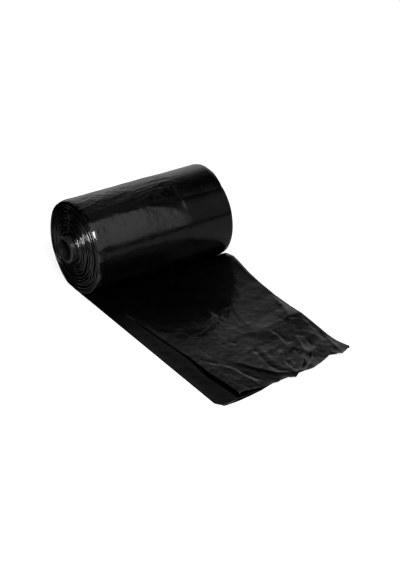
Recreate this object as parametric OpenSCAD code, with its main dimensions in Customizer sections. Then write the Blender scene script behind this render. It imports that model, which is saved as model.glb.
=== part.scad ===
// A small roll of joined film bags on a tube core, with the first bag's end pulled out along
// the surface it rests on. The web is one film folded in three: a flap outside, the full width
// in the middle and a flap inside. X runs along the roll, -Y along the loose end, Z up, and the
// origin lies on the resting surface, under the middle of the roll.

/* [Roll] */
// Length of the roll, which is the width of the folded web
web_w = 60; // [56:1:64]
// Diameter of the roll over its last turn
roll_d = 36.4; // [35:0.1:38]
// Turns of the web, each standing for several thin ones
turns = 12; // [8:1:12]
// Height lost where the roll settles on its own web
settle = 0.45; // [0.1:0.05:0.6]
// How far the innermost turns have slid out of the visible end
slip = 1.9; // [0:0.1:2.5]
// Side to side wander of the turns' edges
wander = 0.22; // [0:0.02:0.3]

/* [Core] */
// Outer diameter of the tube
core_d = 10.4; // [9:0.1:10.4]
// Bore of the tube
core_bore_d = 8; // [6:0.1:8.2]
// Length of the tube
core_len = 62; // [60:1:66]
// How far the tube stands out of the roll's visible end
core_out = 4; // [0:0.5:5]
// Chamfer on the tube's rims
core_chamfer = 0.2; // [0.1:0.05:0.3]

/* [Folded film] */
// Thickness of one folded layer
ply = 0.22; // [0.18:0.01:0.22]
// Air between two layers
ply_gap = 0.06; // [0.04:0.01:0.06]
// Width of the flap on the outside of the web
outer_flap = 43; // [30:1:50]
// Width of the flap on the inside of the web
inner_flap = 55; // [50:1:56]

/* [Loose end] */
// How far the upper layer stops short of the lower ones at the torn end
ply_step = 0.3; // [0.1:0.1:1.5]
// Height to which the upper flap's edge has lifted at its free corner
corner_lift = 2.2; // [0:0.1:3]
// Width over which that lifted edge falls back to the strip
corner_reach = 15; // [8:1:20]
// Width over which the puffed fold falls back to the strip
fold_reach = 9; // [6:0.5:12]
// Height of the gathers that run into the pinched point of the torn end
gather_rise = 1.3; // [0:0.1:2]

/* [Hidden] */

film_color = "#141416";
core_color = "#1b1b1e";

roll_r = roll_d / 2;
axis_z = roll_r - settle;
core_r = core_d / 2;
web_t = 3 * ply + 2 * ply_gap;
left_x = -web_w / 2;
right_x = web_w / 2;
inner_edge_x = right_x - inner_flap;
outer_edge_x = left_x + outer_flap;

// Room between the tube and the first turn, and the rise of each turn
core_play = 0.1;
first_r = core_r + core_play;
pitch = (roll_r - web_t - first_r) / turns;

// Mid heights of the three layers as they lie on the surface
low_z = ply / 2;
mid_z = low_z + ply + ply_gap;
top_z = mid_z + ply + ply_gap;

// Stations round a turn, round the last turn, and along the loose end
turn_steps = 24;
last_steps = 40;
tail_rows = 33;
// Columns across the upper flap, round its fold, and across the two lower layers
flap_cols = 18;
fold_cols = 4;
base_cols = 8;
low_cols = 4;

// Part of a turn, from the bottom up the front, in which a turn climbs onto the next
climb = 0.25;
// How the slip dies away from the core to the last turn
slip_power = 1.3;
// Sideways waves of the web's edge in one turn
wander_waves = 1.37;

// The torn end, as [x, y] from left to right
torn_end = [[-30, -99.4], [-20, -99.4], [-9, -97.8], [2, -96.6], [4.5, -97.6], [8, -96],
            [14, -95.6], [24, -91.6], [27, -94], [34, -90]];
// Left edge, right edge and the upper flap's edge, as [y, x]
left_edge = [[0, left_x], [-95, left_x], [-100, left_x + 2]];
right_edge = [[0, right_x], [-10, 31.5], [-17, 32.2], [-28, 31.3], [-46, 31], [-80, 31],
              [-86, 31.6], [-92, 33.4]];
flap_edge = [[0, inner_edge_x], [-46, -23.8], [-60, -24.3], [-80, -23.2], [-98, -20.8]];
// Height of the puffed fold along the right edge, as [y, height over the surface]
fold_rise = [[0, web_t], [-6, 0.9], [-10, 2.5], [-13, 4.6], [-17, 5.2], [-21, 4.8], [-28, 3.6],
             [-35, 2.7], [-46, 1.8], [-57, 2.7], [-64, 4], [-71, 3.2], [-77, 1.8], [-83, 1.1],
             [-92, 0.9]];
// Where the upper flap's edge starts to lift, and where it is highest
lift_start = -46;
lift_full = -97;

// Creases of the upper layer, as [start, end, rise, half width]
pinch = [6.5, -95.5];
creases = [
    [pinch, [4.5, -88], gather_rise, 2.6],
    [[4.5, -88], [4.8, -76], gather_rise, 2.8],
    [[4.8, -76], [9.5, -59], 0.7 * gather_rise, 3.2],
    [pinch, [13, -86], gather_rise, 2.6],
    [[13, -86], [15, -69], 0.7 * gather_rise, 3],
    [pinch, [22, -84], 0.9 * gather_rise, 2.6],
    [[22, -84], [28, -73], 0.7 * gather_rise, 3],
    [[-12, -85], [-9, -97], 0.9 * gather_rise, 3],
    [[28.4, -50], [23, -66], 0.8 * gather_rise, 3],
    [[23, -66], [16.5, -76], 0.6 * gather_rise, 3]];

function mix(a, b, t) = a + (b - a) * t;
function clamp01(t) = min(1, max(0, t));
function ease(t) = let (c = clamp01(t)) c * c * (3 - 2 * c);
// A hump that is 1 at 0 and falls to 0 at 1
function hump(t) = (1 + cos(180 * clamp01(abs(t)))) / 2;

// Distance from point q to the line between a and b
function line_gap(q, a, b) =
    let (d = b - a, t = clamp01((q - a) * d / (d * d)))
    norm(q - a - d * t);

function crease_lift(x, y) =
    max([for (c = creases) c[2] * hump(line_gap([x, y], c[0], c[1]) / c[3])]);

function corner_lift_at(x, y) =
    corner_lift * ease((y - lift_start) / (lift_full - lift_start))
    * hump((x - lookup(y, flap_edge)) / corner_reach);

function puff(y) = max(0, lookup(y, fold_rise) - web_t);
function puff_r(y) = (puff(y) + ply + ply_gap) / 2;
function crest_x(y) = lookup(y, right_edge) - ply / 2 - puff_r(y);

// Mid height of the upper layer
function upper_z(x, y) =
    let (fold = puff(y) * hump((crest_x(y) - x) / fold_reach), other = corner_lift_at(x, y),
         open = clamp01((crest_x(y) - x) / 4))
    top_z + max(fold, other, open * crease_lift(x, y));

// A folded section is a list of points on the film's middle, as [x, z, side x, side z],
// from the upper flap's edge round both folds to the lower flap's edge
function section_flat(x0) = [
    [inner_edge_x + x0, top_z, 0, 1],
    [right_x - ply / 2 + x0, top_z, 1, 1],
    [right_x - ply / 2 + x0, mid_z, 1, -1],
    [left_x + ply / 2 + x0, mid_z, 1, -1],
    [left_x + ply / 2 + x0, low_z, 1, 1],
    [outer_edge_x + x0, low_z, 0, 1]];

// Both faces of the film round one section, a closed ring of [x, z]
function ring(section) =
    let (h = ply / 2, n = len(section))
    [for (k = [0 : 2 * n - 1])
        let (s = section[k < n ? k : 2 * n - 1 - k], side = k < n ? h : -h)
        [s[0] + side * s[2], s[1] + side * s[3]]];

// Wound stations: turn number u, counted from the core, and its place in the roll
function climb_of(u) = floor(u) + ease((u - floor(u)) / climb);
function inner_r(u) = first_r + pitch * climb_of(u);
function slide_x(u) =
    -slip * pow(clamp01((turns - u) / turns), slip_power)
    + wander * sin(360 * wander_waves * u) * clamp01(turns - u);

function wound_point(p, u) =
    let (a = -90 - 360 * u, r = inner_r(u) + web_t - p[1], flat = settle * pow(r / roll_r, 2))
    [p[0], r * cos(a), max(axis_z + r * sin(a), axis_z - r + flat)];

wound_u = [for (k = [0 : (turns - 1) * turn_steps - 1]) k / turn_steps,
           for (k = [0 : last_steps]) turns - 1 + k / last_steps];
wound_rings = [for (u = wound_u)
    [for (p = ring(section_flat(slide_x(u)))) wound_point(p, u)]];

// Loose stations: s runs from 0 under the roll to 1 at the torn end
function row_y(x, s) = s * lookup(x, torn_end);
function fold_angle(k) = 90 - 180 * k / (fold_cols + 1);

function section_loose(s) =
    let (y = s * lookup(left_x / 2, torn_end), y_right = row_y(right_x, s),
         x_left = lookup(y, left_edge), x_flap = lookup(y, flap_edge),
         x_crest = crest_x(y_right), r = puff_r(y_right))
    concat(
        [for (k = [0 : flap_cols - 1])
            let (x = mix(x_flap, x_crest, k / (flap_cols - 1)))
            [x, upper_z(x, row_y(x, s)), 0, 1]],
        [for (k = [1 : fold_cols])
            let (a = fold_angle(k))
            [x_crest + r * cos(a), mid_z + r + r * sin(a), cos(a), sin(a)]],
        [for (k = [0 : base_cols - 1])
            [mix(x_crest, x_left + ply / 2, k / (base_cols - 1)), mid_z,
             k == base_cols - 1 ? 1 : 0, -1]],
        [for (k = [0 : low_cols - 1])
            [mix(x_left + ply / 2, outer_edge_x, k / (low_cols - 1)), low_z, k == 0 ? 1 : 0, 1]]);

loose_n = flap_cols + fold_cols + base_cols + low_cols;
loose_rings = [for (j = [1 : tail_rows])
    let (s = j / tail_rows, section = section_loose(s), points = ring(section))
    [for (k = [0 : 2 * loose_n - 1])
        let (p = points[k], m = k < loose_n ? k : 2 * loose_n - 1 - k,
             short = m < flap_cols ? ply_step * s : 0)
        [p[0], row_y(p[0], s) + short, p[1]]]];

// Places of the six wound section points among the loose section's points
loose_stops = [0, flap_cols - 1, flap_cols + fold_cols,
               flap_cols + fold_cols + base_cols - 1,
               flap_cols + fold_cols + base_cols, loose_n - 1];
wound_n = len(loose_stops);
function loose_stop(k) =
    k < wound_n ? loose_stops[k] : 2 * loose_n - 1 - loose_stops[2 * wound_n - 1 - k];

// Faces between two rings of one size that start at points a and b
function ring_faces(a, b, size) = [for (k = [0 : size - 1])
    let (m = (k + 1) % size)
    each [[a + k, b + m, b + k], [a + k, a + m, b + m]]];

// Faces from the last wound ring, at a, to the first loose ring, at b
function join_faces(a, b) = [for (k = [0 : 2 * wound_n - 1])
    let (m = (k + 1) % (2 * wound_n), p = loose_stop(k),
         q = m == 0 ? 2 * loose_n : loose_stop(m), half = floor((p + q) / 2))
    each concat(
        [for (j = [p : 1 : half - 1]) [a + k, b + j + 1, b + j]],
        [[a + k, a + m, b + half % (2 * loose_n)]],
        [for (j = [half : 1 : q - 1]) [a + m, b + (j + 1) % (2 * loose_n), b + j]])];

// Faces that close the film at a ring of n section points, at a
function end_faces(a, n, flip) = [for (k = [0 : n - 2])
    let (p = a + k, q = a + k + 1, r = a + 2 * n - 2 - k, t = a + 2 * n - 1 - k)
    each flip ? [[p, q, r], [p, r, t]] : [[p, r, q], [p, t, r]]];

wound_total = len(wound_rings) * 2 * wound_n;
web_points = concat([for (r = wound_rings) each r], [for (r = loose_rings) each r]);
web_faces = concat(
    end_faces(0, wound_n, false),
    [for (i = [0 : len(wound_rings) - 2])
        each ring_faces(i * 2 * wound_n, (i + 1) * 2 * wound_n, 2 * wound_n)],
    join_faces(wound_total - 2 * wound_n, wound_total),
    [for (i = [0 : tail_rows - 2])
        each ring_faces(wound_total + i * 2 * loose_n, wound_total + (i + 1) * 2 * loose_n,
                        2 * loose_n)],
    end_faces(wound_total + (tail_rows - 1) * 2 * loose_n, loose_n, true));

// The tube, with its rims chamfered
module core() {
    bore_r = core_bore_d / 2;
    c = core_chamfer;
    color(core_color)
        translate([left_x - core_out, 0, axis_z])
            rotate([0, 90, 0])
                rotate_extrude($fn = 96)
                    polygon([[bore_r, 0], [core_r - c, 0], [core_r, c], [core_r, core_len - c],
                             [core_r - c, core_len], [bore_r, core_len]]);
}

// The folded web, wound on the core and running out as the loose end
module bag_web() {
    color(film_color) polyhedron(web_points, web_faces, convexity = 12);
}

core();
bag_web();
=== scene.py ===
import math

import bpy
import numpy as np
from mathutils import Matrix, Vector


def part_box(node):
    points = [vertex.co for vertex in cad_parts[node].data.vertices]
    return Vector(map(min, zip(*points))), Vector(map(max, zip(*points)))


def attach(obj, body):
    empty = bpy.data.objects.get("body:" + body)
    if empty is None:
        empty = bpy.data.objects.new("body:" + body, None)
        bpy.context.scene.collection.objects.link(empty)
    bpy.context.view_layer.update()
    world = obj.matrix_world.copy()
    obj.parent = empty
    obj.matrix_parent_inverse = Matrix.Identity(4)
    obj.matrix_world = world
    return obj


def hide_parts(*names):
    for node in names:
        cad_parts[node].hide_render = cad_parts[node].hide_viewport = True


bl_info = {
    "name": "Film Bag Roll",
    "version": (1, 0, 0),
    "blender": (4, 5, 0),
    "location": "View3D > Sidebar > Film Roll",
    "description": "Builds the film of a small roll of joined bags: its turns, last wrap and loose end",
    "category": "Object",
}

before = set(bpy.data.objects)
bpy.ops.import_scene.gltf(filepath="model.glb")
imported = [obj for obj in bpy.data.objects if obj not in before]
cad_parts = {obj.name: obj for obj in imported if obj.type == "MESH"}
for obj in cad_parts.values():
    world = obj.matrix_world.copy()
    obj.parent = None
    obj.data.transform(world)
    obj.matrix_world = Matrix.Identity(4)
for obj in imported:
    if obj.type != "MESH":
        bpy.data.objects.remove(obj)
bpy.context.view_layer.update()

MM = 0.001
WEB_HIGH = Vector(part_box("bag_web")[1])
CORE_LOW, CORE_HIGH = (Vector(corner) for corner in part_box("core"))

# Places that the frame gives, in millimetres
ROLL_R = WEB_HIGH.y / MM
AXIS_Z = (CORE_LOW.z + CORE_HIGH.z) / 2 / MM
CORE_R = (CORE_HIGH.z - CORE_LOW.z) / 2 / MM
# How far the roll has settled into its round form where it rests
SETTLE = ROLL_R - AXIS_Z
# Half the folded film's width
HALF_W = 30.0
# Where the outer flap's edge lies along the roll, and how wide its step is
FLAP_EDGE_X = 13.0
STEP_W = 0.6


# Sizes and finishes

class FilmRollSizes(bpy.types.PropertyGroup):
    turns: bpy.props.IntProperty(
        name="Turns", description="Turns of film that show between the core and the last wrap",
        default=14, min=8, max=40)
    film_t: bpy.props.FloatProperty(
        name="Film", description="Thickness of one layer of film",
        default=0.05 * MM, min=0.02 * MM, max=0.1 * MM, precision=5, unit="LENGTH")
    turn_t: bpy.props.FloatProperty(
        name="Turn", description="Thickness of one folded turn at its edge",
        default=0.42 * MM, min=0.1 * MM, max=0.6 * MM, precision=5, unit="LENGTH")
    slip: bpy.props.FloatProperty(
        name="Slip", description="How far the innermost turns have slid out of the visible end",
        default=1.9 * MM, min=0.0, max=3.0 * MM, precision=5, unit="LENGTH")
    wander: bpy.props.FloatProperty(
        name="Wander", description="Side to side wander of the turns' edges",
        default=1.3 * MM, min=0.0, max=2.0 * MM, precision=5, unit="LENGTH")
    slack: bpy.props.FloatProperty(
        name="Slack", description="How unevenly the turns are spaced",
        default=2.2 * MM, min=0.0, max=3.0 * MM, precision=5, unit="LENGTH")
    seed: bpy.props.IntProperty(
        name="Seed", description="Seed of the uneven spacing", default=4, min=0, max=99)


class FilmRollFinish(bpy.types.PropertyGroup):
    film_color: bpy.props.FloatVectorProperty(
        name="Film colour", description="Colour of the film", subtype="COLOR", size=4,
        default=(0.0002, 0.0002, 0.0002, 1.0), min=0.0, max=1.0)
    film_roughness: bpy.props.FloatProperty(
        name="Film roughness", description="How soft the film's reflections are",
        default=0.13, min=0.0, max=1.0, subtype="FACTOR")
    core_color: bpy.props.FloatVectorProperty(
        name="Core colour", description="Colour of the tube", subtype="COLOR", size=4,
        default=(0.004, 0.004, 0.004, 1.0), min=0.0, max=1.0)
    window_level: bpy.props.FloatProperty(
        name="Window", description="Radiance of the large soft window over the front",
        default=0.95, min=0.0, max=5.0)
    lamp_level: bpy.props.FloatProperty(
        name="Lamp", description="Radiance of the small soft lamp beside it",
        default=32.0, min=0.0, max=40.0)


# Smooth repeatable noise

# Cells along each side of a noise's table, after which it repeats
NOISE_CELLS = 64


def noise(x, y, seed):
    """Smooth noise from -1 to 1 at points x, y, whose cells are 1 wide.

    A caller divides its millimetres by the width that it wants for the cells.
    """
    size = NOISE_CELLS
    table = np.random.default_rng(seed).uniform(-1, 1, (size, size))
    column, row = np.floor(x).astype(int), np.floor(y).astype(int)
    fx, fy = x - column, y - row
    fx, fy = fx * fx * (3 - 2 * fx), fy * fy * (3 - 2 * fy)
    low, high = (
        table[column % size, (row + j) % size] * (1 - fx)
        + table[(column + 1) % size, (row + j) % size] * fx for j in (0, 1))
    return low * (1 - fy) + high * fy


def layered(x, y, seed, layers=3):
    """Noise in several sizes, each half the last."""
    return sum(noise(x * 2 ** k, y * 2 ** k, seed + k) * 0.5 ** k for k in range(layers))


def creased(x, y, seed, layers=2):
    """Noise with sharp ridges, from 0 to 1.5, as film has where it has been crushed."""
    return sum((1 - abs(noise(x * 2 ** k, y * 2 ** k, seed + k))) ** 3 * 0.5 ** k
               for k in range(layers))


def facets(x, y, seed):
    """Bowls between sharp ridges, from 0 to about 1, as in crumpled film. Cells are 1 wide."""
    size = NOISE_CELLS
    sites = np.random.default_rng(seed).uniform(0, 1, (2, size, size))
    column, row = np.floor(x).astype(int), np.floor(y).astype(int)
    nearest = np.full(np.shape(x), np.inf)
    for i in (-1, 0, 1):
        for j in (-1, 0, 1):
            at = ((column + i) % size, (row + j) % size)
            gap = np.square(x - column - i - sites[0][at]) + np.square(y - row - j - sites[1][at])
            nearest = np.minimum(nearest, gap)
    return nearest


def ease(t):
    """A smooth step from 0 to 1: ease((value - start) / width) rises from start over width."""
    t = np.clip(t, 0, 1)
    return t * t * (3 - 2 * t)


def bell(t):
    """1 in the middle, and less the further away."""
    return np.exp(-np.square(t))


def along(value, pairs):
    """The pairs' second numbers, read off at value; their first numbers may fall or rise."""
    keys, results = zip(*sorted(pairs))
    return np.interp(value, keys, results)


def path_gap(x, y, path):
    """Distance from each point to a path, less than 0 on its left, and the place along it."""
    steps = list(zip(path[:-1], path[1:]))
    lengths = [math.dist(a, b) for a, b in steps]
    best, place, done = np.full(x.shape, np.inf), np.zeros(x.shape), 0.0
    for (a, b), length in zip(steps, lengths):
        dx, dy = (b[0] - a[0]) / length, (b[1] - a[1]) / length
        t = np.clip((x - a[0]) * dx + (y - a[1]) * dy, 0, length)
        gap = np.hypot(x - a[0] - dx * t, y - a[1] - dy * t)
        side = np.where((x - a[0]) * dy - (y - a[1]) * dx < 0, -1, 1)
        nearer = gap < np.abs(best)
        best = np.where(nearer, gap * side, best)
        place = np.where(nearer, done + t, place)
        done += length
    return best, place / done


# Meshes

def linked(name, data):
    """A new object in the scene."""
    made = bpy.data.objects.new(name, data)
    bpy.context.scene.collection.objects.link(made)
    return made


def grid_object(name, points):
    """A sheet of quads through a grid of points in millimetres, rows by columns."""
    rows, columns = points.shape[:2]
    index = np.arange(rows * columns).reshape(rows, columns)
    corners = (index[:-1, :-1], index[:-1, 1:], index[1:, 1:], index[1:, :-1])
    faces = np.stack([c.ravel() for c in corners], axis=1)
    mesh = bpy.data.meshes.new(name)
    mesh.from_pydata((points.reshape(-1, 3) * MM).tolist(), [], faces.tolist())
    mesh.polygons.foreach_set("use_smooth", [True] * len(faces))
    return linked(name, mesh)


def settled(made, material):
    """Turns an object's modifiers into a plain mesh, in one material."""
    bpy.context.view_layer.update()
    depsgraph = bpy.context.evaluated_depsgraph_get()
    mesh = bpy.data.meshes.new_from_object(made.evaluated_get(depsgraph))
    made.modifiers.clear()
    made.data = mesh
    mesh.name = made.name
    mesh.materials.clear()
    mesh.materials.append(material)
    mesh.polygons.foreach_set("material_index", [0] * len(mesh.polygons))
    return made


def thickened(made, thickness, material):
    """Gives a sheet its thickness on the side away from its faces."""
    wall = made.modifiers.new("Thickness", "SOLIDIFY")
    wall.thickness = thickness
    wall.offset = -1
    return settled(made, material)


def placed(made):
    """Says that a piece of film rides on the one body and stands for the web's solid."""
    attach(made, "root")
    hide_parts("bag_web")


# Node trees

class Nodes:
    """Adds nodes to a tree, with each input given as a value or a socket."""

    def __init__(self, tree):
        self.tree = tree

    def feed(self, socket, value):
        if isinstance(value, bpy.types.NodeSocket):
            self.tree.links.new(value, socket)
        else:
            socket.default_value = value

    def add(self, kind, inputs=None, **settings):
        node = self.tree.nodes.new(kind)
        for key, value in settings.items():
            setattr(node, key, value)
        for key, value in (inputs or {}).items():
            self.feed(node.inputs[key], value)
        return node

    def math(self, operation, *values):
        node = self.add("ShaderNodeMath", operation=operation)
        for socket, value in zip(node.inputs, values):
            self.feed(socket, value)
        return node.outputs[0]

    def plus(self, *values):
        total = values[0]
        for value in values[1:]:
            total = self.math("ADD", total, value)
        return total

    def times(self, *values):
        total = values[0]
        for value in values[1:]:
            total = self.math("MULTIPLY", total, value)
        return total

    def vector(self, x, y, z):
        return self.add("ShaderNodeCombineXYZ", {"X": x, "Y": y, "Z": z}).outputs[0]

    def spread(self, value, low, high, to_low=0.0, to_high=1.0):
        node = self.add("ShaderNodeMapRange", interpolation_type="SMOOTHSTEP")
        for key, number in (("Value", value), ("From Min", low), ("From Max", high),
                            ("To Min", to_low), ("To Max", to_high)):
            self.feed(node.inputs[key], number)
        return node.outputs[0]

    def noise(self, vector, scale, detail=2.0, w=None, distortion=0.0, dimensions="3D"):
        node = self.add("ShaderNodeTexNoise", noise_dimensions=dimensions)
        for key, value in (("Vector", vector), ("Scale", scale), ("Detail", detail),
                           ("Distortion", distortion)):
            self.feed(node.inputs[key], value)
        if w is not None:
            self.feed(node.inputs["W"], w)
        return node.outputs[0]


def empty_nodes(owner):
    """The emptied node tree of a material or world, to be filled."""
    owner.use_nodes = True
    owner.node_tree.nodes.clear()
    return Nodes(owner.node_tree)


# Materials

# How strongly smooth plastic bends light
PLASTIC_IOR = 1.5
# The film's crinkles: how many lie in a metre, the fine ones' share, and their height in
# millimetres
FINE_CRINKLES, BROAD_CRINKLES = 1300.0, 420.0
FINE_SHARE = 0.4
CRINKLE_H = 0.042
# How much the crinkles are drawn out along the roll
CRINKLE_STRETCH = (0.35, 1.0, 1.0)
# How many patches of more or less gloss lie in a metre, and how much they change it
GLOSS_PATCHES = 140.0
GLOSS_LESS, GLOSS_MORE = 0.03, 0.06


def plastic(name, color, ior):
    """A new material of this colour, with its nodes, its shader and the place on the piece."""
    material = bpy.data.materials.new(name)
    material.use_nodes = True
    n = Nodes(material.node_tree)
    shader = material.node_tree.nodes["Principled BSDF"]
    shader.inputs["Base Color"].default_value = color
    shader.inputs["IOR"].default_value = ior
    return material, n, shader, n.add("ShaderNodeTexCoord").outputs["Object"]


def film_material(name, finish, crinkle=1.0, roughness=None, ior=PLASTIC_IOR, lean=None):
    """Black film: a soft gloss, with fine crinkles and small changes of gloss.

    lean gives, from the nodes, X and Y, more height in metres that only tips the reflections.
    """
    material, n, shader, place = plastic(name, finish.film_color, ior)
    gloss = n.noise(place, GLOSS_PATCHES, 3.0)
    level = finish.film_roughness if roughness is None else roughness
    rough = n.spread(gloss, 0.3, 0.7, level - GLOSS_LESS, level + GLOSS_MORE)
    n.feed(shader.inputs["Roughness"], rough)
    drawn_out = n.add("ShaderNodeMapping", {"Vector": place, "Scale": CRINKLE_STRETCH}).outputs[0]
    fine = n.noise(drawn_out, FINE_CRINKLES, 3.0, distortion=0.8)
    broad = n.noise(place, BROAD_CRINKLES, 2.0, distortion=0.5)
    height = n.times(n.plus(n.times(fine, FINE_SHARE), broad), CRINKLE_H * crinkle * MM)
    if lean:
        spot = n.add("ShaderNodeSeparateXYZ", {"Vector": place}).outputs
        height = n.plus(height, lean(n, spot["X"], spot["Y"]))
    bump = n.add("ShaderNodeBump", {"Height": height, "Strength": 1.0, "Distance": 1.0})
    n.feed(shader.inputs["Normal"], bump.outputs[0])
    return material


# Slopes that tip the film's reflections, and the places in metres between which they start
WRAP_LEAN = -0.07
LEFT_LEAN, LEFT_LEAN_X, LEFT_LEAN_Y = 0.115, (-0.026, 0.014), -0.078
RIGHT_LEAN, RIGHT_LEAN_X, RIGHT_LEAN_Y = -0.16, 0.014, (-0.038, -0.078)


def wrap_lean(n, x, y):
    """The single layer beside the outer flap leans away from the flap's edge."""
    beyond = n.math("MAXIMUM", n.plus(x, -(FLAP_EDGE_X + STEP_W / 2) * MM), 0.0)
    return n.times(beyond, WRAP_LEAN)


def end_lean(n, x, y):
    """The loose end leans towards its torn end on the left, and outwards at the far right."""
    left = n.times(n.spread(x, *LEFT_LEAN_X, LEFT_LEAN, 0.0), n.plus(y, -LEFT_LEAN_Y))
    beyond = n.math("MAXIMUM", n.plus(x, -RIGHT_LEAN_X), 0.0)
    return n.plus(left, n.times(beyond, n.spread(y, *RIGHT_LEAN_Y, 0.0, RIGHT_LEAN)))


# The core's marks: how many lie in a metre, how drawn out the rings are round it, how rough the
# marks leave it, and their height in millimetres
CORE_WEAR, CORE_RINGS = 700.0, 2500.0
RING_STRETCH = (1.0, 0.02, 0.02)
CORE_SMOOTH, CORE_ROUGH = 0.26, 0.38
CORE_MARK_H = 0.05


def core_material(finish):
    """Black tube: duller than the film, with faint rings from its mould."""
    material, n, shader, place = plastic("core_tube", finish.core_color, PLASTIC_IOR)
    wear = n.noise(place, CORE_WEAR, 3.0)
    n.feed(shader.inputs["Roughness"], n.spread(wear, 0.35, 0.65, CORE_SMOOTH, CORE_ROUGH))
    rings = n.add("ShaderNodeMapping", {"Vector": place, "Scale": RING_STRETCH}).outputs[0]
    height = n.plus(n.noise(rings, CORE_RINGS, 1.0), n.times(wear, 0.6))
    bump = n.add("ShaderNodeBump", {
        "Height": height, "Strength": 0.2, "Distance": CORE_MARK_H * MM})
    n.feed(shader.inputs["Normal"], bump.outputs[0])
    return material


# Stage

# The photograph's view: where it looks, from where, and its lens
VIEW_AZIMUTH = -33.8
VIEW_ELEVATION = 29.55
VIEW_ROLL = 1.26
VIEW_DISTANCE = 1050 * MM
VIEW_TARGET = Vector((12.28, -22.42, 0)) * MM
IMAGE_HEIGHT = 570
FOCAL_PIXELS = 2758
SENSOR = 36.0


def make_camera():
    """Looks at the roll as the photograph does."""
    azimuth, elevation = math.radians(VIEW_AZIMUTH), math.radians(VIEW_ELEVATION)
    back = Vector((math.sin(azimuth) * math.cos(elevation),
                   -math.cos(azimuth) * math.cos(elevation), math.sin(elevation)))
    right = Vector((0, 0, 1)).cross(back).normalized()
    up = back.cross(right)
    turn = Matrix.Rotation(math.radians(VIEW_ROLL), 3, back)
    right, up = turn @ right, turn @ up
    data = bpy.data.cameras.new("Camera")
    data.sensor_width = SENSOR
    data.lens = SENSOR * FOCAL_PIXELS / IMAGE_HEIGHT
    data.clip_start = 0.01
    made = linked("Camera", data)
    place = Matrix((right, up, back)).transposed().to_4x4()
    place.translation = VIEW_TARGET + back * VIEW_DISTANCE
    made.matrix_world = place
    bpy.context.scene.camera = made


WHITE = (1, 1, 1, 1)
# The way from the roll towards the pale far side of the studio
REAR_WAY = (0.1, 0.99, 0.0)
# The way along the floor to where the light falls in front of the roll's visible end
NEAR_WAY = (-0.7, -0.7, 0.0)
# The far side's brightness, by how high a way points
REAR_LEVELS = ((0.0, 0.60), (0.20, 0.60), (0.33, 0.58), (0.44, 0.46), (0.54, 0.36), (0.64, 0.28),
               (0.71, 0.21), (0.77, 0.16), (0.84, 0.14), (0.95, 0.08))
# Where the studio's two sides meet, by how far a way points to the rear
REAR_SIDE, NEAR_SIDE = (-0.4, 0.2), (0.2, -0.2)
# The far side's darker part high on the right: how far right, how high, and how much it takes off
RIGHT_FROM, RIGHT_HIGH, RIGHT_LESS = (0.50, 0.56), (0.20, 0.80), -0.95
# The far side's dark part high on the left: its slant, and where and how much is left of it
LEFT_SLANT, LEFT_DARK = 0.9, (0.34, 0.50, 0.08, 1.0)
# The near side by how high a way points: dim low down, less so higher up, and dark overhead
NEAR_LOW, NEAR_OVERHEAD = (0.08, 0.2, 0.07, 0.2), (0.68, 0.88, 1.0, 0.04)
# The even light that falls on surfaces
EVEN_LEVEL = 0.62


def make_world():
    """White to the camera, an even light for the surfaces, and a dim studio to their gloss."""
    world = bpy.data.worlds.new("Studio")
    bpy.context.scene.world = world
    n = empty_nodes(world)
    way = n.add("ShaderNodeTexCoord").outputs["Generated"]
    parts = n.add("ShaderNodeSeparateXYZ", {"Vector": way}).outputs
    up = parts["Z"]
    ramp = n.add("ShaderNodeValToRGB", {"Fac": up})
    for _ in REAR_LEVELS[2:]:
        ramp.color_ramp.elements.new(0.5)
    for element, (place, level) in zip(ramp.color_ramp.elements, REAR_LEVELS):
        element.position = place
        element.color = (level, level, level, 1)
    rear_way = n.add("ShaderNodeVectorMath", {0: way, 1: REAR_WAY}, operation="DOT_PRODUCT")
    low_right = n.plus(n.times(up, -LEFT_SLANT), parts["X"], LEFT_SLANT)
    dark_right = n.times(n.spread(parts["X"], *RIGHT_FROM), n.spread(up, *RIGHT_HIGH), RIGHT_LESS)
    rear = n.times(n.spread(rear_way.outputs["Value"], *REAR_SIDE), n.plus(dark_right, 1.0),
                   n.spread(low_right, *LEFT_DARK), ramp.outputs[0])
    front = n.times(n.spread(up, *NEAR_LOW), n.spread(up, *NEAR_OVERHEAD),
                    n.spread(rear_way.outputs["Value"], *NEAR_SIDE))
    studio = n.plus(rear, front)
    ray = n.add("ShaderNodeLightPath").outputs
    even = n.add("ShaderNodeBackground", {"Color": WHITE, "Strength": EVEN_LEVEL}).outputs[0]
    dim = n.add("ShaderNodeBackground", {"Color": studio, "Strength": 1.0}).outputs[0]
    white = n.add("ShaderNodeBackground", {"Color": WHITE, "Strength": 1.0}).outputs[0]
    lit = n.add("ShaderNodeMixShader", {0: ray["Is Glossy Ray"], 1: even, 2: dim}).outputs[0]
    seen = n.add("ShaderNodeMixShader", {0: ray["Is Camera Ray"], 1: lit, 2: white}).outputs[0]
    n.add("ShaderNodeOutputWorld", {"Surface": seen})


# The floor's half side, how far it lies under the film, its paint and how white it glows
FLOOR_HALF = 1.5
FLOOR_DROP = 0.02 * MM
FLOOR_PAINT = (0.8, 0.8, 0.8, 1)
FLOOR_GLOW, FLOOR_GLOW_SHARE = 1.08, 0.75
# Painted glow that the film's gloss sees on the floor in place of its lit and shaded parts: painted
# light behind the roll, before its visible end and beside the loose end, and dim painted shade anywhere
# else
PAINTED_GLOW_BEHIND, PAINTED_GLOW_BEFORE, PAINTED_GLOW_BESIDE, PAINTED_GLOW_LEAST = 0.42, 0.9, 0.27, 0.01
# Where the patch behind fades: away from the roll, to the rear, and on the left
BEHIND_AWAY, BEHIND_REAR, BEHIND_X = (0.03, 0.15), (0.0, 0.08), (-0.05, 0.0)
# Where the patch before it fades: to the near left, and on the right
BEFORE_NEAR, BEFORE_X = (0.01, 0.05), (0.02, -0.03)
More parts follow.
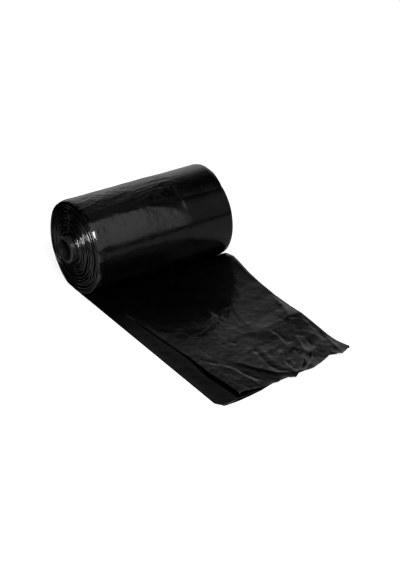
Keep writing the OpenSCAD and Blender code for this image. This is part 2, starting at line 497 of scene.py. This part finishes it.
# Where the patch on the right fades and grows stronger, and the one past the torn end
SIDE_X, SIDE_MORE_X, SIDE_Y = (0.029, 0.032), (0.031, 0.042, 0.4, 1.0), (0.05, 0.0)
PAST_Y, PAST_X = (-0.07, -0.11), (0.06, 0.09, 1.0, 0.35)


def make_floor():
    """A plain pale floor that is white to the camera and keeps the object's shadow, and that shows the
    film's gloss a painted glow in patches over painted shade.
    """
    mesh = bpy.data.meshes.new("floor")
    corners = [(x * FLOOR_HALF, y * FLOOR_HALF, -FLOOR_DROP)
               for x, y in ((-1, -1), (1, -1), (1, 1), (-1, 1))]
    mesh.from_pydata(corners, [], [(0, 1, 2, 3)])
    made = linked("floor", mesh)
    material = bpy.data.materials.new("floor")
    n = empty_nodes(material)
    paint = n.add("ShaderNodeBsdfDiffuse", {"Color": FLOOR_PAINT}).outputs[0]
    glow = n.add("ShaderNodeEmission", {"Color": WHITE, "Strength": FLOOR_GLOW}).outputs[0]
    seen = n.add("ShaderNodeMixShader", {0: FLOOR_GLOW_SHARE, 1: paint, 2: glow}).outputs[0]
    place = n.add("ShaderNodeTexCoord").outputs["Object"]
    away = n.add("ShaderNodeVectorMath", {0: place}, operation="LENGTH").outputs["Value"]
    far = n.add("ShaderNodeVectorMath", {0: place, 1: REAR_WAY}, operation="DOT_PRODUCT")
    near = n.add("ShaderNodeVectorMath", {0: place, 1: NEAR_WAY}, operation="DOT_PRODUCT")
    spot = n.add("ShaderNodeSeparateXYZ", {"Vector": place}).outputs
    x, y = spot["X"], spot["Y"]
    behind = n.times(n.spread(away, *BEHIND_AWAY), n.spread(far.outputs["Value"], *BEHIND_REAR),
                     n.spread(x, *BEHIND_X))
    before = n.times(n.spread(near.outputs["Value"], *BEFORE_NEAR), n.spread(x, *BEFORE_X))
    right_side = n.times(n.spread(x, *SIDE_X), n.spread(y, *SIDE_Y), n.spread(x, *SIDE_MORE_X))
    past_end = n.times(n.spread(y, *PAST_Y), n.spread(x, *PAST_X))
    beside = n.math("MAXIMUM", right_side, past_end)
    level = n.plus(n.times(behind, PAINTED_GLOW_BEHIND), n.times(before, PAINTED_GLOW_BEFORE),
                   n.times(beside, PAINTED_GLOW_BESIDE), PAINTED_GLOW_LEAST)
    # Painted light and shade of the floor, seen only in the film's reflections: an emission in patches,
    # not light from a lamp
    painted_floor_glow = n.add("ShaderNodeEmission", {"Color": WHITE, "Strength": level}).outputs[0]
    ray = n.add("ShaderNodeLightPath").outputs
    other = n.add("ShaderNodeMixShader", {0: ray["Is Glossy Ray"], 1: paint, 2: painted_floor_glow})
    both = n.add("ShaderNodeMixShader", {0: ray["Is Camera Ray"], 1: other.outputs[0], 2: seen})
    n.add("ShaderNodeOutputMaterial", {"Surface": both.outputs[0]})
    mesh.materials.append(material)


def soft_light(name, centre, across, upward, width, height, radiance):
    """A rectangular soft light of this radiance, whose sides run across and upward."""
    across, upward = Vector(across).normalized(), Vector(upward).normalized()
    facing = across.cross(upward).normalized()
    if facing.dot(Vector(centre)) < 0:
        across, facing = -across, -facing
    data = bpy.data.lights.new(name, "AREA")
    data.shape = "RECTANGLE"
    data.size, data.size_y = width, height
    data.energy = radiance * math.pi * width * height
    made = linked(name, data)
    place = Matrix((across, facing.cross(across), facing)).transposed().to_4x4()
    place.translation = Vector(centre)
    made.matrix_world = place
    made.visible_camera = False


# The curved window's right side, as the angle round the roll and the place along it, in
# millimetres, where the roll mirrors it to the camera, and how far off the window is
WINDOW_EDGE = [(123.6, -4.5), (125.3, -2.2), (128, 0.9), (132, 3.9), (137, 6.7), (143, 9.5),
               (147, 11), (151, 12.5), (157, 13)]
WINDOW_LEFT = -200
WINDOW_AWAY = 470
# The window's rows and columns of corners, and between which heights in metres its lower part
# is dimmer
WINDOW_ROWS, WINDOW_COLUMNS = 40, 5
WINDOW_DIM_Z, WINDOW_DIM = (0.10, 0.32), 0.80
# The lamp's middle, the ways its sides run and their lengths, in metres
LAMP_PLACE = (-0.080, -0.262, 0.290)
LAMP_ACROSS, LAMP_UPWARD = (1.0, -0.1, 0.1), (0.0, 0.705, 0.68)
LAMP_WIDTH, LAMP_HEIGHT = 0.25, 0.13


def curved_window(radiance):
    """A soft light bent round the roll, whose mirror image is the band on the last wrap."""
    azimuth, elevation = math.radians(VIEW_AZIMUTH), math.radians(VIEW_ELEVATION)
    aside, high = -math.sin(azimuth) * math.cos(elevation), math.sin(elevation)
    front = math.atan2(high, -math.cos(azimuth) * math.cos(elevation))
    reach = math.hypot(high, math.cos(azimuth) * math.cos(elevation))
    rows = []
    for phi in np.linspace(WINDOW_EDGE[0][0], WINDOW_EDGE[-1][0], WINDOW_ROWS):
        turn = math.radians(phi)
        ahead = WINDOW_AWAY * reach
        y = ROLL_R * math.cos(turn) + ahead * math.cos(2 * turn - front)
        z = AXIS_Z + ROLL_R * math.sin(turn) + ahead * math.sin(2 * turn - front)
        right = along(phi, WINDOW_EDGE) + WINDOW_AWAY * aside
        rows.append([(x, y, z) for x in np.linspace(WINDOW_LEFT, right, WINDOW_COLUMNS)])
    made = grid_object("Window", np.array(rows))
    material = bpy.data.materials.new("window")
    n = empty_nodes(material)
    place = n.add("ShaderNodeTexCoord").outputs["Object"]
    up = n.add("ShaderNodeSeparateXYZ", {"Vector": place}).outputs["Z"]
    level = n.spread(up, *WINDOW_DIM_Z, WINDOW_DIM * radiance, radiance)
    glow = n.add("ShaderNodeEmission", {"Color": WHITE, "Strength": level}).outputs[0]
    n.add("ShaderNodeOutputMaterial", {"Surface": glow})
    made.data.materials.append(material)
    made.visible_camera = False
    made.visible_shadow = False


class FILMROLL_OT_stage(bpy.types.Operator):
    """Sets up the camera, the floor and the soft studio light"""
    bl_idname = "filmroll.stage"
    bl_label = "Stage"

    def execute(self, context):
        finish = context.scene.film_roll_finish
        make_camera()
        make_world()
        make_floor()
        curved_window(finish.window_level)
        soft_light("Lamp", LAMP_PLACE, LAMP_ACROSS, LAMP_UPWARD, LAMP_WIDTH, LAMP_HEIGHT,
                   finish.lamp_level)
        context.scene.view_settings.view_transform = "Standard"
        return {"FINISHED"}


# Wound turns

TURN_INPUTS = (
    ("Turns", "Float", 24.0), ("Steps", "Int", 96), ("Section Points", "Int", 24),
    ("Inner Radius", "Float", 0.005), ("Outer Radius", "Float", 0.017),
    ("Axis Height", "Float", 0.0175), ("Settle", "Float", 0.0005),
    ("Half Width", "Float", 0.03), ("Thickness", "Float", 0.0003),
    ("Slip", "Float", 0.002), ("Wander", "Float", 0.0003), ("Slack", "Float", 0.0005),
    ("Fold Depth", "Float", 0.0005), ("Curl", "Float", 0.0001), ("Seed", "Float", 0.0),
    ("Material", "Material", None),
)
# How much of a turn the film's two ends take to thin out
END_SHARE = 1 / 8
# How fast the turns' spacing changes outwards, in cells a metre, and round a turn
PACK_CHANGE, PACK_ROUND = 620.0, 1.1
# How fast the turns' ripple and side shift change round a turn, and their own seeds
TURN_ROUND = 1.6
RIPPLE_SCALE, RIPPLE_SEED = 1.7, 7.0
SHIFT_SCALE, SHIFT_SEED = 0.9, 3.0


def turns_tree():
    """A spiral strip of folded film, whose section is a flat slab with rounded edges."""
    tree = bpy.data.node_groups.new("Wound turns", "GeometryNodeTree")
    for name, kind, default in TURN_INPUTS:
        socket = tree.interface.new_socket(name, in_out="INPUT", socket_type="NodeSocket" + kind)
        if default is not None:
            socket.default_value = default
    tree.interface.new_socket("Geometry", in_out="OUTPUT", socket_type="NodeSocketGeometry")
    n = Nodes(tree)
    given = n.add("NodeGroupInput").outputs
    stations = n.plus(n.times(given["Turns"], given["Steps"]), 1.0)
    grid = n.add("GeometryNodeMeshGrid", {
        "Size X": 1.0, "Size Y": 1.0, "Vertices X": n.plus(given["Section Points"], 1.0),
        "Vertices Y": stations}).outputs["Mesh"]
    at = n.add("ShaderNodeSeparateXYZ", {0: n.add("GeometryNodeInputPosition").outputs[0]}).outputs
    half_step = n.math("DIVIDE", 0.5, given["Section Points"])
    round_it = n.times(n.plus(at["X"], 0.5, half_step), 2 * math.pi)
    share = n.plus(at["Y"], 0.5)
    turn = n.times(share, given["Turns"])
    angle = n.plus(n.times(turn, -2 * math.pi), -math.pi / 2)
    cosine, sine = n.math("COSINE", angle), n.math("SINE", angle)
    bow, lens = n.math("COSINE", round_it), n.math("SINE", round_it)
    side = n.math("SIGN", bow)
    start = n.math("MINIMUM", n.times(turn, 1 / END_SHARE), 1.0)
    left_over = n.math("SUBTRACT", given["Turns"], turn)
    end = n.math("MINIMUM", n.times(left_over, 1 / END_SHARE), 1.0)
    taper = n.math("MAXIMUM", n.math("MINIMUM", start, end), 0.0)

    plain = n.plus(given["Inner Radius"], n.times(
        share, n.math("SUBTRACT", given["Outer Radius"], given["Inner Radius"])))
    beside = n.vector(n.times(plain, PACK_CHANGE), n.times(cosine, PACK_ROUND),
                      n.times(sine, PACK_ROUND))
    pack = n.plus(n.noise(beside, 1.0, 1.0, given["Seed"], dimensions="4D"), -0.5)
    inside = n.times(share, n.math("SUBTRACT", 1.0, share), 4.0)
    turning = n.vector(turn, n.times(cosine, TURN_ROUND), n.times(sine, TURN_ROUND))
    ripple, shift = (
        n.plus(n.noise(turning, scale, 2.0, n.plus(given["Seed"], seed), dimensions="4D"), -0.5)
        for scale, seed in ((RIPPLE_SCALE, RIPPLE_SEED), (SHIFT_SCALE, SHIFT_SEED)))
    radius = n.plus(
        plain, n.times(pack, given["Slack"], inside),
        n.times(ripple, given["Curl"], 2.0),
        n.times(lens, given["Thickness"], 0.5, taper))
    slid = n.times(given["Slip"], n.math("POWER", n.math("SUBTRACT", 1.0, share), 1.3), -1.0)
    x = n.plus(n.times(side, n.math("SUBTRACT", given["Half Width"], given["Fold Depth"])),
               n.times(bow, given["Fold Depth"]), slid, n.times(shift, given["Wander"], 2.0))
    flat = n.times(given["Settle"], n.math("POWER", n.math(
        "DIVIDE", radius, given["Outer Radius"]), 2.0))
    lowest = n.plus(n.math("SUBTRACT", given["Axis Height"], radius), flat)
    z = n.math("MAXIMUM", n.plus(given["Axis Height"], n.times(radius, sine)), lowest)
    moved = n.add("GeometryNodeSetPosition", {
        "Geometry": grid, "Position": n.vector(x, n.times(radius, cosine), z)}).outputs[0]
    closed = n.add("GeometryNodeMergeByDistance", {"Geometry": moved, "Distance": 1e-7})
    smooth = n.add("GeometryNodeSetShadeSmooth", {"Geometry": closed.outputs[0]}).outputs[0]
    real = n.add("GeometryNodeRealizeInstances", {"Geometry": smooth}).outputs[0]
    dressed = n.add("GeometryNodeSetMaterial", {"Geometry": real, "Material": given["Material"]})
    n.add("NodeGroupOutput", {"Geometry": dressed.outputs[0]})
    return tree


def set_inputs(modifier, values):
    """Sets a modifier's inputs by their sockets' identifiers."""
    for item in modifier.node_group.interface.items_tree:
        if item.item_type == "SOCKET" and item.in_out == "INPUT":
            modifier[item.identifier] = values[item.name]


# How far under the last wrap's face the winding ends, and how far outside the core it starts
LAST_GAP = 0.42
CORE_GAP = 0.5
# How much narrower the turns are than the last wrap, at each side
TURNS_IN = 0.1
# The rounded edge of a folded turn, and how far a turn's edge ripples
FOLD_DEPTH = 0.5
TURN_CURL = 0.2
TURN_CRINKLE, TURN_ROUGHNESS = 0.7, 0.18
# Points along each turn and round its section
TURN_STEPS, SECTION_POINTS = 96, 24


class FILMROLL_OT_wound_turns(bpy.types.Operator):
    """Winds the folded film round the core, from the core to just under the last wrap"""
    bl_idname = "filmroll.wound_turns"
    bl_label = "Wound Turns"

    def execute(self, context):
        sizes, finish = context.scene.film_roll_sizes, context.scene.film_roll_finish
        material = film_material("film_turns", finish, TURN_CRINKLE, TURN_ROUGHNESS)
        made = linked("wound_turns", bpy.data.meshes.new("wound_turns"))
        winding = made.modifiers.new("Winding", "NODES")
        winding.node_group = turns_tree()
        outer = (ROLL_R - LAST_GAP) * MM - sizes.turn_t / 2
        set_inputs(winding, {
            "Turns": float(sizes.turns), "Steps": TURN_STEPS, "Section Points": SECTION_POINTS,
            "Inner Radius": CORE_R * MM + sizes.turn_t / 2 + CORE_GAP * MM,
            "Outer Radius": outer, "Axis Height": AXIS_Z * MM, "Settle": SETTLE * MM,
            "Half Width": (HALF_W - TURNS_IN) * MM, "Thickness": sizes.turn_t,
            "Slip": sizes.slip, "Wander": sizes.wander, "Slack": sizes.slack,
            "Fold Depth": FOLD_DEPTH * MM, "Curl": TURN_CURL * MM, "Seed": float(sizes.seed),
            "Material": material})
        settled(made, material)
        if not made.data.polygons:
            raise RuntimeError("the winding has no faces")
        placed(made)
        return {"FINISHED"}


# Last wrap

# Radius of the folds at the wrap's two sides
FOLD_R = 0.20
# Where the outer flap sags towards its edge, as the angle round the roll and the place along it
SAG_EDGE = [(60, 13), (100, 3), (122, -4), *WINDOW_EDGE[1:]]
# How much it sags for each millimetre beyond that place
SAG_SLOPE = 0.05
# Heights of the wrap's relief in millimetres: its long swells, the flap's step and lip, wrinkles
# along the roll and more of them on the flap, slanting ones high on the left, the fan of
# wrinkles over the window's band with its place, curls at the left side, and small dents
SWELL_H = 0.06
STEP_H, LIP_H = 0.07, 0.12
STREAK_H, FLAP_STREAK_H = 0.04, 0.15
CROSSING_H = 0.14
FAN_H, FAN_X, FAN_ANGLE = 0.16, 6, 104
SIDE_CURL_H = 0.10
DENT_H = 0.035
# How far the wrap rounds down at its two sides, and over what width
SHOULDER_H, SHOULDER_W = 0.22, 1.6
# Points across the wrap's face and round each side fold, and where those of its turned-in inside
# lie from the fold
FACE_POINTS, SIDE_POINTS = 121, 7
TURNED_IN = (5.0, 3.0, 1.5, 0.6, 0.0)


def wrap_relief(angle, x):
    """How far the last wrap stands out of its round form, in millimetres."""
    arc = angle / 360 * 2 * math.pi * ROLL_R
    edge = FLAP_EDGE_X + 0.35 * noise(arc / 6, 0 * x, 12)
    on_flap = ease((edge - x) / 3)
    swell = SWELL_H * layered(arc / 11, x / 14, 11, 2)
    step = -STEP_H * ease((x - edge + STEP_W / 2) / STEP_W)
    in_front = ease((angle - 100) / 20) * ease((146 - angle) / 12)
    lip = LIP_H * bell((x - edge + 0.9) / 0.9) * in_front

    top = ease((angle - 5) / 20) * ease((124 + 10 * ease((x - 2) / 8) - angle) / 12)
    slant = arc + 0.12 * x + 1.4 * noise(arc / 7, x / 9, 13)
    streaks = top * (STREAK_H + FLAP_STREAK_H * on_flap) * (creased(slant / 1.7, x / 12, 14) - 0.4)
    high_left = ease((angle - 5) / 20) * ease((118 - angle) / 14) * ease((-6 - x) / 10)
    crossing = arc - 0.9 * x + 1.2 * noise(arc / 5, x / 6, 19)
    streaks += CROSSING_H * high_left * (creased(crossing / 2.2, (arc + x) / 16, 20) - 0.4)

    fan_gap = np.hypot((x - FAN_X) / 8, (arc - np.radians(FAN_ANGLE) * ROLL_R) / 4)
    fan = FAN_H * bell(fan_gap) * creased((arc - 0.9 * x) / 1.6, (x + arc) / 9, 15)
    left = ease((-23 - x) / 5) * ease((angle - 128) / 10) * ease((205 - angle) / 15)
    winding = arc / 2.1 + 0.6 * noise(arc / 2, x / 2, 16)
    curls = SIDE_CURL_H * left * creased(winding, x / 2.4, 17)
    dents = DENT_H * (0.4 + 0.6 * on_flap) * facets(arc / 2.3, x / 3.4, 18)
    sag = -SAG_SLOPE * np.maximum(0, np.minimum(x, FLAP_EDGE_X) - along(angle, SAG_EDGE))
    shoulder = -SHOULDER_H * np.square(ease((np.abs(x) - HALF_W + SHOULDER_W) / SHOULDER_W))
    return swell + step + lip + streaks + fan + curls + dents + sag + shoulder


def wrap_section():
    """The wrap's section as distances along the roll and depths under its outer face."""
    turn_in = np.radians(np.linspace(0, 180, SIDE_POINTS)[1:-1])
    outer = np.linspace(-HALF_W + FOLD_R, HALF_W - FOLD_R, FACE_POINTS)
    inner = HALF_W - FOLD_R - np.array(TURNED_IN)
    fold_x = HALF_W - FOLD_R + FOLD_R * np.sin(turn_in)
    fold_depth = FOLD_R - FOLD_R * np.cos(turn_in)
    x = np.concatenate([-inner, -fold_x[::-1], outer, fold_x, inner[::-1]])
    deep = np.full(inner.shape, 2 * FOLD_R)
    depth = np.concatenate([deep, fold_depth[::-1], 0 * outer, fold_depth, deep])
    return x, depth


# The angles at which the wrap starts and ends, and its rows of points
WRAP_START, WRAP_END, WRAP_ROWS = 268, -88, 241
# How far under the roll's face the wrap lies, how much deeper it starts, and over what angle
WRAP_IN, WRAP_CLIMB, CLIMB_ANGLE = 0.05, 0.35, 40
# How far the wrap wanders along the roll
WRAP_DRIFT = 0.22


class FILMROLL_OT_last_wrap(bpy.types.Operator):
    """Makes the roll's last wrap, with its wrinkles and the edge of its outer flap"""
    bl_idname = "filmroll.last_wrap"
    bl_label = "Last Wrap"

    def execute(self, context):
        sizes, finish = context.scene.film_roll_sizes, context.scene.film_roll_finish
        x, depth = wrap_section()
        degrees = np.linspace(WRAP_START, WRAP_END, WRAP_ROWS)
        angle, x_grid = np.meshgrid(degrees, x, indexing="ij")
        inside = np.clip(x_grid, -HALF_W + FOLD_R, HALF_W - FOLD_R)
        climb = -WRAP_CLIMB * (1 - ease((WRAP_START - angle) / CLIMB_ANGLE))
        radius = ROLL_R - WRAP_IN + climb + wrap_relief(angle, inside) - depth
        turn = np.radians(angle)
        drift = WRAP_DRIFT * noise(angle / 40, 0 * angle, 21)
        low = AXIS_Z - radius + SETTLE * np.square(radius / ROLL_R)
        z = np.maximum(AXIS_Z + radius * np.sin(turn), low)
        points = np.stack([x_grid + drift, radius * np.cos(turn), z], axis=-1)
        made = grid_object("last_wrap", points)
        thickened(made, sizes.film_t, film_material("film_wrap", finish, lean=wrap_lean))
        placed(made)
        return {"FINISHED"}


# Loose end

# Edges of the loose end as places along Y and along X, and its torn end as places along X and Y
RIGHT_EDGE = [(1, 30), (-10, 31.5), (-17, 32.2), (-28, 31.3), (-46, 31), (-80, 31), (-86, 31.6),
              (-92, 33.4)]
FLAP_EDGE = [(1, -25), (-30, -24.4), (-46, -23.6), (-55, -22.9), (-66, -22.0), (-79, -22.5),
             (-90, -21.3), (-99, -21.0)]
TORN_END = [(-30, -99.5), (-25, -99.7), (-20, -99.4), (-14.5, -98.4), (-9, -97.8), (-4, -97.0),
            (2, -96.6), (4.5, -97.6), (6.5, -96.2), (8, -96.0), (14, -95.6), (20, -93.2),
            (24.7, -91.3), (27.5, -94.0), (34, -90)]
# How high the right fold stands, by place along Y
FOLD_RISE = [(1, 0.3), (-6, 0.9), (-10, 2.6), (-13, 4.6), (-17, 5.3), (-21, 4.9), (-28, 3.7),
             (-35, 2.7), (-46, 2.1), (-57, 2.5), (-64, 3.3), (-71, 2.9), (-78, 2.3), (-85, 1.6),
             (-92, 0.9)]

# Where the torn end is drawn together
PINCH = (6.6, -95.6)
# Creases of the upper flap: path from its near end, rise, widths of its left and right sides
CREASES = (
    ([PINCH, (3.3, -89.4), (2.7, -83.7), (3.2, -77.4), (6.3, -70.7), (9.1, -62.4), (11.2, -48)],
     0.35, 1.6, 3.0),
    ([PINCH, (6.0, -91.5), (5.7, -87.6), (7.6, -82.4), (10.7, -78.8)], 0.40, 0.7, 1.8),
    ([(-9.9, -97.1), (-11.2, -89), (-12.7, -82.8), (-14.9, -79.3)], 0.45, 1.6, 0.7),
    ([PINCH, (-0.5, -92), (-4.5, -86.5), (-9.7, -78.3)], 0.60, 1.0, 3.0),
    ([(23.6, -65.1), (26.9, -55.2), (29.1, -46)], 0.70, 0.6, 2.2),
    ([(26.9, -73.2), (28.0, -64.5), (28.6, -58), (30.2, -50)], 0.30, 0.9, 1.6),
    ([(19.0, -75.1), (21.5, -69.9), (23.6, -65.1)], 0.45, 0.7, 2.0),
    ([(23.6, -82.8), (24.6, -78.4), (23.7, -75.2), (21.0, -73.5)], 0.25, 1.2, 2.4),
    ([PINCH, (12.6, -91.0), (16.4, -85.6), (17.9, -81.0), (19.0, -75.1)], 0.60, 0.8, 1.8),
    ([PINCH, (12, -93), (18, -89), (23.6, -82.8)], 0.40, 0.8, 1.8),
    ([(28.0, -89.9), (28.4, -85.2), (28.9, -80.5)], 0.50, 0.6, 1.2),
)
# Hollows between them: path, depth, widths of its sides
HOLLOWS = (
    ([(5.4, -95.2), (1.5, -91), (0.6, -86), (1.2, -80), (2.6, -74)], 0.45, 1.0, 1.0),
    ([PINCH, (7.4, -88.4), (8.8, -83.9)], 0.5, 0.7, 0.7),
    ([(8.0, -93.5), (10.4, -90.8), (12.7, -85.5), (14.8, -81.3)], 2.2, 0.45, 0.6),
    ([(9.5, -94.3), (13.5, -91.5), (17.6, -88)], 1.8, 0.4, 0.5),
    ([(17.0, -77), (15.4, -75.4), (15.6, -70.8), (14.9, -67.6)], 0.6, 0.6, 0.6),
    ([(-19.5, -70.7), (-18, -73.7), (-15.3, -77.0)], 0.45, 0.8, 0.8),
    ([(-7.2, -93.6), (-9.2, -89.6), (-11, -84.4)], 0.45, 0.8, 0.8),
    ([(27.8, -83.2), (28.5, -78.4)], 0.4, 0.6, 0.6),
    ([(21.6, -66.5), (21.6, -61.8)], 0.4, 0.7, 0.7),
    ([(4.9, -72), (1.7, -76)], 0.4, 0.8, 0.8),
    ([(-1.6, -66.3), (-1.0, -66.9)], 0.6, 0.5, 0.5),
    ([(21.9, -80.2), (21.6, -84.9)], 0.6, 0.6, 0.6),
)


def crease_height(x, y, creases):
    """The height of creases whose two sides fall away from a sharp crest."""
    total = np.zeros(x.shape)
    for path, rise, left, right in creases:
        gap, place = path_gap(x, y, path)
        fade = 0.35 + 0.65 * (1 - np.abs(2 * place - 1) ** 6)
        width = np.where(gap < 0, left, right)
        total = total + rise * fade * np.exp(-np.sqrt(np.square(gap) + 0.06) / width)
    return total


# How high both upper plies stand up at the left, and how dented they are there
PLY_H, PLY_DENT_H = 0.85, 0.10
# How far the right fold's slope reaches, how much less it does near the torn end, and how the
# slope curves
FOLD_REACH, FOLD_REACH_LESS, FOLD_CURVE = 26, 5, 1.25
# Heights of the flap's relief in millimetres: its lifted corner, broad waves, middling dents,
# crushed film round the pinch, and fine dents near the roll and further out
CORNER_H = 1.4
WAVE_H, MIDDLE_H, CRUSHED_H = 0.30, 0.17, 0.34
FINE_H, FINE_OUT_H = 0.02, 0.10
# The middle of the crushed film, how far it spreads, and how deep hollows may go
CRUSHED_AT, CRUSHED_SPREAD = (14, -80), 18
HOLLOW_SHARE = 0.93


def ply_height(x, y):
    """How far both upper plies stand up from their left fold."""
    out = ease((-10 - y) / 30)
    rise = PLY_H * out * ease((x + 30) / 9) * (1 - 0.7 * ease((x + 22) / 20))
    return rise + PLY_DENT_H * out * facets(x / 3.5, y / 4.5, 43)


def flap_height(x, y, crest):
    """Height of the upper flap over its flat place, in millimetres."""
    puff = np.maximum(0, along(y, FOLD_RISE) - FOLD_FLAT)
    reach = FOLD_REACH - FOLD_REACH_LESS * ease((-60 - y) / 16)
    fold = puff * np.clip(1 - (crest - x) / reach, 0, 1) ** FOLD_CURVE
    inward = x - along(y, FLAP_EDGE)
    corner = CORNER_H * ease((-46 - y) / 52) ** 1.8 * bell(inward / 7)
    open_up = ease((crest - x) / 3)
    creases = open_up * crease_height(x, y, CREASES)
    hollows = crease_height(x, y, HOLLOWS)

    out = ease((-18 - y) / 30)
    bend_x = x + 1.2 * noise(x / 5, y / 5, 45)
    bend_y = y + 1.2 * noise(x / 5, y / 5, 46)
    waves = WAVE_H * out * (layered(x / 13, y / 15, 31, 2) + 0.6)
    slant_x, slant_y = bend_x + 0.4 * bend_y, bend_y - 0.5 * bend_x
    middle = MIDDLE_H * out * facets(slant_x / 6.5, slant_y / 8, 33)
    near_pinch = bell(np.hypot(x - CRUSHED_AT[0], y - CRUSHED_AT[1]) / CRUSHED_SPREAD)
    crushed = CRUSHED_H * near_pinch * facets(bend_x / 4.2, bend_y / 5.4, 35)
    fine = (FINE_H + FINE_OUT_H * out) * facets(bend_x / 2.3, bend_y / 2.9, 38)
    raised = np.maximum(fold, corner) + creases + waves + middle + crushed + fine
    return np.maximum(0.0, raised - np.minimum(hollows, HOLLOW_SHARE * raised))


# Heights of the under flap, the middle layer and the upper flap, and the fold's least height
UNDER_Z, BASE_Z, TOP_Z = 0.09, 0.17, 0.28
FOLD_FLAT = 0.3
# Where the loose end starts along Y, and how far it reaches
START_Y, REACH = 1, 98
# Points across the under flap, its fold, the two parts of the middle layer and the upper flap,
# round the right fold with its two ends, and along the loose end
UNDER_POINTS, BEND_POINTS, LEFT_POINTS, RIGHT_POINTS, TOP_POINTS = 8, 3, 18, 16, 116
LOOP_POINTS = 14
END_ROWS = 196
LOWER_POINTS = UNDER_POINTS + BEND_POINTS + LEFT_POINTS + RIGHT_POINTS
# How far the left fold's corner is cut back at the torn end, and how much shorter the lower plies
# and the flap's corner are
CORNER_CUT, LOWER_SHORT, CORNER_SHORT = 2.0, 1.3, 0.9
# How high the torn edge curls, and how far from it that fades
EDGE_CURL_H, EDGE_CURL_REACH = 0.35, 0.7
END_CRINKLE, END_ROUGHNESS, END_IOR = 1.5, 0.18, 1.38


def torn_y(x):
    """Where the torn end lies along Y."""
    return np.interp(x, *zip(*TORN_END))


def loose_row(share):
    """One row across the loose end, from the under flap's edge round both folds."""
    y_mid = START_Y - share * REACH
    y_right = START_Y + share * (torn_y(HALF_W) - START_Y)
    rise = max(0.0, along(y_right, FOLD_RISE) - FOLD_FLAT) + TOP_Z - BASE_Z
    crest = along(y_right, RIGHT_EDGE) - rise / 2
    flap = along(y_mid, FLAP_EDGE)
    left = -HALF_W + CORNER_CUT * ease((share - 0.965) / 0.035)
    under_x = np.linspace(FLAP_EDGE_X, left + 0.1, UNDER_POINTS)
    fold_z = np.linspace(UNDER_Z, BASE_Z, BEND_POINTS)
    base_x = np.concatenate([np.linspace(left + 0.1, -19, LEFT_POINTS),
                             np.linspace(-17, crest, RIGHT_POINTS)])
    around = np.radians(np.linspace(-90, 90, LOOP_POINTS))[1:-1]
    loop_x = crest + rise / 2 * np.cos(around)
    loop_z = BASE_Z + rise / 2 + rise / 2 * np.sin(around)
    top_x = np.linspace(crest, flap, TOP_POINTS)
    x = np.concatenate([under_x, [left, left - 0.04, left], base_x, loop_x, top_x])
    y = START_Y + share * (torn_y(x) - START_Y)
    y[:LOWER_POINTS] += LOWER_SHORT * ease((x[:LOWER_POINTS] + 13) / 8) * share ** 8
    z = np.concatenate([np.full(UNDER_POINTS, UNDER_Z), fold_z, np.full(len(base_x), BASE_Z),
                        loop_z, np.full(TOP_POINTS, TOP_Z)])
    return x, y, z, crest


def loose_points():
    """The loose end's points, row by row from the roll to the torn end."""
    base = slice(UNDER_POINTS + BEND_POINTS, LOWER_POINTS)
    rows = []
    for share in np.linspace(0, 1, END_ROWS):
        x, y, z, crest = loose_row(share)
        top_x, top_y = x[-TOP_POINTS:], y[-TOP_POINTS:]
        lift = flap_height(top_x, top_y, crest)
        uneven = 0.6 + 0.8 * noise(top_x / 3.1, 0 * top_x, 41)
        curl = EDGE_CURL_H * np.exp(-(top_y - torn_y(top_x)) / EDGE_CURL_REACH) * uneven
        short = CORNER_SHORT * bell((top_x + 17) / 7) * share ** 8
        lift += ease((crest - top_x) / 6) * ply_height(top_x, top_y)
        z[-TOP_POINTS:] += lift + np.maximum(0, curl)
        y[-TOP_POINTS:] += short
        z[base] += ease((crest - x[base]) / 6) * ply_height(x[base], y[base])
        rows.append(np.stack([x, y, z], axis=-1))
    return np.array(rows)


class FILMROLL_OT_loose_end(bpy.types.Operator):
    """Lays out the loose end: the film in three layers, its puffed fold and its torn end"""
    bl_idname = "filmroll.loose_end"
    bl_label = "Loose End"

    def execute(self, context):
        sizes, finish = context.scene.film_roll_sizes, context.scene.film_roll_finish
        made = grid_object("loose_end", loose_points())
        material = film_material("film_end", finish, END_CRINKLE, END_ROUGHNESS, END_IOR, end_lean)
        thickened(made, sizes.film_t, material)
        placed(made)
        return {"FINISHED"}


class FILMROLL_OT_core(bpy.types.Operator):
    """Gives the core tube its finish"""
    bl_idname = "filmroll.core"
    bl_label = "Core"

    def execute(self, context):
        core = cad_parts["core"]
        core.data.materials.clear()
        core.data.materials.append(core_material(context.scene.film_roll_finish))
        return {"FINISHED"}


class FILMROLL_PT_panel(bpy.types.Panel):
    """Lists the roll's sizes, finishes and pieces"""
    bl_idname = "FILMROLL_PT_panel"
    bl_label = "Film Roll"
    bl_space_type = "VIEW_3D"
    bl_region_type = "UI"
    bl_category = "Film Roll"

    def draw(self, context):
        column = self.layout.column()
        for group in (context.scene.film_roll_sizes, context.scene.film_roll_finish):
            for name in group.__annotations__:
                column.prop(group, name)
        for operator in OPERATORS:
            column.operator(operator.bl_idname)


OPERATORS = (FILMROLL_OT_stage, FILMROLL_OT_core, FILMROLL_OT_wound_turns, FILMROLL_OT_last_wrap,
             FILMROLL_OT_loose_end)
CLASSES = (FilmRollSizes, FilmRollFinish, *OPERATORS, FILMROLL_PT_panel)


def register():
    for each in CLASSES:
        bpy.utils.register_class(each)
    bpy.types.Scene.film_roll_sizes = bpy.props.PointerProperty(type=FilmRollSizes)
    bpy.types.Scene.film_roll_finish = bpy.props.PointerProperty(type=FilmRollFinish)


def unregister():
    del bpy.types.Scene.film_roll_finish
    del bpy.types.Scene.film_roll_sizes
    for each in reversed(CLASSES):
        bpy.utils.unregister_class(each)


def plain(box):
    return [[float(number) for number in corner] for corner in box]


def main():
    register()
    bpy.ops.filmroll.stage()
    bpy.ops.filmroll.core()
    bpy.ops.filmroll.wound_turns()
    bpy.ops.filmroll.last_wrap()
    bpy.ops.filmroll.loose_end()


if __name__ == "__main__":
    main()
